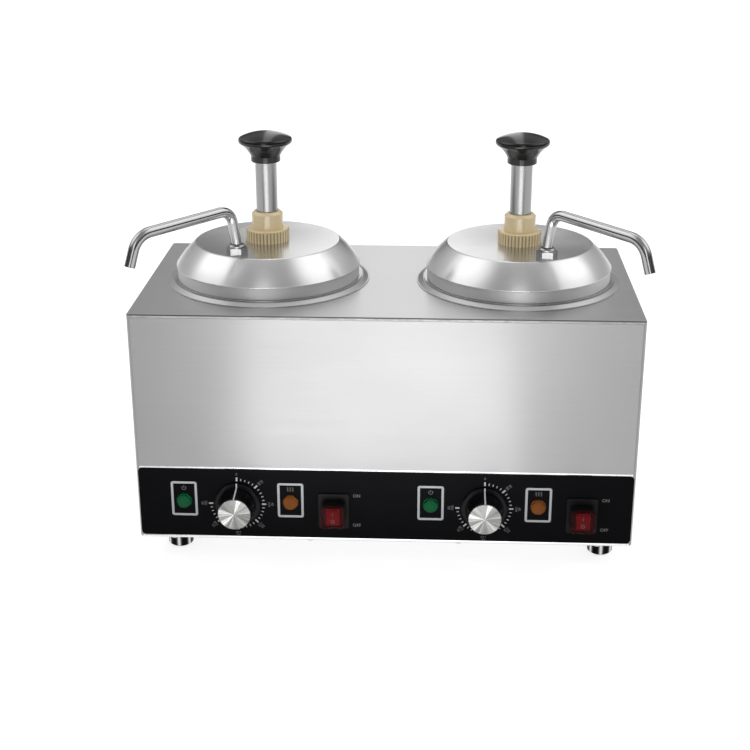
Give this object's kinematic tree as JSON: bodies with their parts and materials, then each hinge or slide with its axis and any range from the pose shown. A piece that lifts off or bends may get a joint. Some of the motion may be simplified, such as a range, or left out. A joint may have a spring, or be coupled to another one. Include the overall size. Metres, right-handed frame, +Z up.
{
  "type": "heated topping warmer",
  "caption": "Countertop two-well hot topping warmer with lift-out pots, domed lids, plunger pumps with bent discharge spouts and a black control fascia.",
  "frame": {"origin": "on the floor, under the middle of the casing", "axes": "+X to the right of someone facing the controls, along the casing's length; +Y towards the back; +Z up"},
  "size_m": [0.4647, 0.2823, 0.385],
  "materials": {
    "satin_stainless": "satin brushed sheet, grain running across the front",
    "polished_stainless": "bright polished deep-drawn stainless steel",
    "foot_chrome": "bright plated cup",
    "black_rubber": "matt black",
    "fixing_steel": "zinc-plated",
    "heater_steel": "heat-tinted sheathed element",
    "black_fascia": "smooth black film with pale printing",
    "thermostat_case": "dark moulded case",
    "bulb_copper": "drawn copper",
    "green_lens": "ribbed translucent green",
    "amber_lens": "ribbed translucent amber",
    "black_plastic": "semi-gloss moulded black",
    "red_cover": "clear soft dark-red cap",
    "red_rocker": "gloss red with white marks",
    "terminal_plastic": "off-white moulding",
    "wire_sleeve": "braided sleeving",
    "tan_plastic": "natural tan moulding, knurled",
    "valve_nylon": "natural nylon",
    "spring_steel": "drawn spring wire",
    "spun_aluminium": "spun disc with circular grain"
  },
  "bodies": {
    "casing": {"top_deck": "satin_stainless", "body_shell": "satin_stainless", "base_plate": "satin_stainless", "foot_cups": "foot_chrome", "foot_pads": "black_rubber", "case_screws": "fixing_steel", "wells": "polished_stainless", "heaters": "heater_steel", "heater_clamps": "fixing_steel", "clamp_nuts": "fixing_steel", "control_fascia": "black_fascia", "thermostats": "thermostat_case", "thermostat_bulbs": "bulb_copper", "bulb_clips": "fixing_steel", "power_lamp_lenses": "green_lens", "heating_lamp_lenses": "amber_lens", "lamp_bodies": "black_plastic", "switch_frames": "black_plastic", "switch_covers": "red_cover", "cable_gland": "black_plastic", "gland_seal": "black_rubber", "gland_nut": "black_plastic", "terminal_block": "terminal_plastic", "wiring": "wire_sleeve"},
    "left_pot": {"left_pot": "polished_stainless"},
    "left_lid": {"left_lid": "polished_stainless", "left_locking_collar": "tan_plastic", "left_pump_cylinder": "polished_stainless", "left_valve_body": "valve_nylon", "left_riser_tube": "polished_stainless", "left_spout_nut": "polished_stainless", "left_return_spring": "spring_steel"},
    "left_plunger": {"left_plunger_tube": "polished_stainless", "left_plunger_knob": "black_plastic", "left_piston": "valve_nylon", "left_piston_seal": "black_rubber"},
    "left_spout": {"left_spout": "polished_stainless"},
    "left_ball": {"left_inlet_ball": "polished_stainless"},
    "left_dial": {"left_control_knob": "black_plastic", "left_knob_cap": "spun_aluminium", "left_thermostat_spindle": "fixing_steel"},
    "left_rocker": {"left_rocker": "red_rocker"},
    "right_pot": {"right_pot": "polished_stainless"},
    "right_lid": {"right_lid": "polished_stainless", "right_locking_collar": "tan_plastic", "right_pump_cylinder": "polished_stainless", "right_valve_body": "valve_nylon", "right_riser_tube": "polished_stainless", "right_spout_nut": "polished_stainless", "right_return_spring": "spring_steel"},
    "right_plunger": {"right_plunger_tube": "polished_stainless", "right_plunger_knob": "black_plastic", "right_piston": "valve_nylon", "right_piston_seal": "black_rubber"},
    "right_spout": {"right_spout": "polished_stainless"},
    "right_ball": {"right_inlet_ball": "polished_stainless"},
    "right_dial": {"right_control_knob": "black_plastic", "right_knob_cap": "spun_aluminium", "right_thermostat_spindle": "fixing_steel"},
    "right_rocker": {"right_rocker": "red_rocker"}
  },
  "joints": [
    {"name": "left_pot_lift", "type": "slide", "parent": "casing", "child": "left_pot", "axis": [0, 0, 1], "range_m": [0, 0.17]},
    {"name": "left_lid_lift", "type": "slide", "parent": "left_pot", "child": "left_lid", "axis": [0, 0, 1], "range_m": [0, 0.16]},
    {"name": "left_plunger_press", "type": "slide", "parent": "left_lid", "child": "left_plunger", "axis": [0, 0, -1], "range_m": [0, 0.04], "stiffness_N_per_m": 300, "springref_m": -0.03, "deforming": ["left_return_spring"]},
    {"name": "left_spout_swivel", "type": "hinge", "parent": "left_lid", "child": "left_spout", "pos_m": [-0.139, -0.052, 0.281], "axis": [0, 0, 1], "range_deg": [-60, 60]},
    {"name": "left_inlet_ball_lift", "type": "slide", "parent": "left_lid", "child": "left_ball", "axis": [0, 0, 1], "range_m": [0, 0.004]},
    {"name": "left_thermostat_turn", "type": "hinge", "parent": "casing", "child": "left_dial", "pos_m": [-0.1378, -0.118, 0.0568], "axis": [0, 1, 0], "range_deg": [0, 270]},
    {"name": "left_switch_rock", "type": "hinge", "parent": "casing", "child": "left_rocker", "pos_m": [-0.0473, -0.1272, 0.0518], "axis": [-1, 0, 0], "range_deg": [0, 12]},
    {"name": "right_pot_lift", "type": "slide", "parent": "casing", "child": "right_pot", "axis": [0, 0, 1], "range_m": [0, 0.17]},
    {"name": "right_lid_lift", "type": "slide", "parent": "right_pot", "child": "right_lid", "axis": [0, 0, 1], "range_m": [0, 0.16]},
    {"name": "right_plunger_press", "type": "slide", "parent": "right_lid", "child": "right_plunger", "axis": [0, 0, -1], "range_m": [0, 0.04], "stiffness_N_per_m": 300, "springref_m": -0.03, "deforming": ["right_return_spring"]},
    {"name": "right_spout_swivel", "type": "hinge", "parent": "right_lid", "child": "right_spout", "pos_m": [0.146, -0.052, 0.281], "axis": [0, 0, 1], "range_deg": [-60, 60]},
    {"name": "right_inlet_ball_lift", "type": "slide", "parent": "right_lid", "child": "right_ball", "axis": [0, 0, 1], "range_m": [0, 0.004]},
    {"name": "right_thermostat_turn", "type": "hinge", "parent": "casing", "child": "right_dial", "pos_m": [0.0932, -0.118, 0.0568], "axis": [0, 1, 0], "range_deg": [0, 270]},
    {"name": "right_switch_rock", "type": "hinge", "parent": "casing", "child": "right_rocker", "pos_m": [0.1837, -0.1272, 0.0518], "axis": [-1, 0, 0], "range_deg": [0, 12]}
  ]
}
